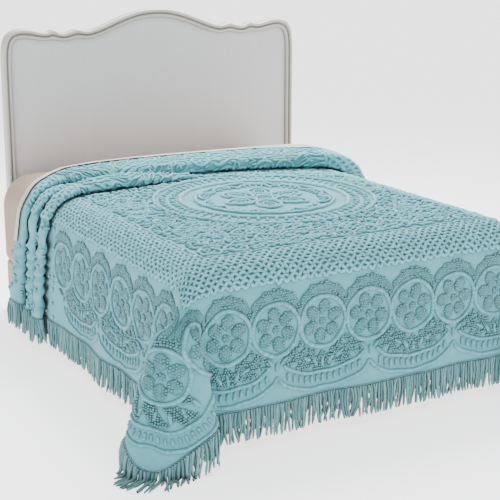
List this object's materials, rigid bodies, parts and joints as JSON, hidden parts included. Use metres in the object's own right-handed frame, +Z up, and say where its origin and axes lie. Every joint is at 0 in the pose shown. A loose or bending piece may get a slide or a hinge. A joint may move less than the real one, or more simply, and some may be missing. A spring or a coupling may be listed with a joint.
{
  "type": "chenille bedspread on bed",
  "caption": "Fringed chenille bedspread draped over a double bed with mattress, base and a curved headboard; corner folds hang to the floor.",
  "frame": {"origin": "middle of the whole footprint, on the floor", "axes": "+Z up, +Y from the foot of the bed toward the headboard, +X to the right seen from the foot"},
  "size_m": [1.975, 2.093, 1.326],
  "materials": {
    "bed_base": "beige cloth cover",
    "bed_leg_1": "dark stained wood",
    "bed_leg_2": "dark stained wood",
    "bed_leg_3": "dark stained wood",
    "bed_leg_4": "dark stained wood",
    "bed_leg_5": "dark stained wood",
    "bedspread": "tufted cotton chenille, aqua",
    "fringe_corner_left": "twisted cotton fringe, aqua",
    "fringe_corner_right": "twisted cotton fringe, aqua",
    "fringe_foot": "twisted cotton fringe, aqua",
    "fringe_head_left": "twisted cotton fringe, aqua",
    "fringe_head_right": "twisted cotton fringe, aqua",
    "fringe_left": "twisted cotton fringe, aqua",
    "fringe_right": "twisted cotton fringe, aqua",
    "headboard_frame": "satin cream paint",
    "headboard_leg_left": "satin cream paint",
    "headboard_leg_right": "satin cream paint",
    "headboard_panel": "satin grey-white paint",
    "mattress": "cream fitted sheet",
    "top_sheet": "cream cotton sheet"
  },
  "bodies": {
    "root": {"bed_base": "bed_base", "bed_leg_1": "bed_leg_1", "bed_leg_2": "bed_leg_2", "bed_leg_3": "bed_leg_3", "bed_leg_4": "bed_leg_4", "bed_leg_5": "bed_leg_5", "bedspread": "bedspread", "fringe_corner_left": "fringe_corner_left", "fringe_corner_right": "fringe_corner_right", "fringe_foot": "fringe_foot", "fringe_head_left": "fringe_head_left", "fringe_head_right": "fringe_head_right", "fringe_left": "fringe_left", "fringe_right": "fringe_right", "headboard_frame": "headboard_frame", "headboard_leg_left": "headboard_leg_left", "headboard_leg_right": "headboard_leg_right", "headboard_panel": "headboard_panel", "mattress": "mattress", "top_sheet": "top_sheet"}
  },
  "joints": []
}
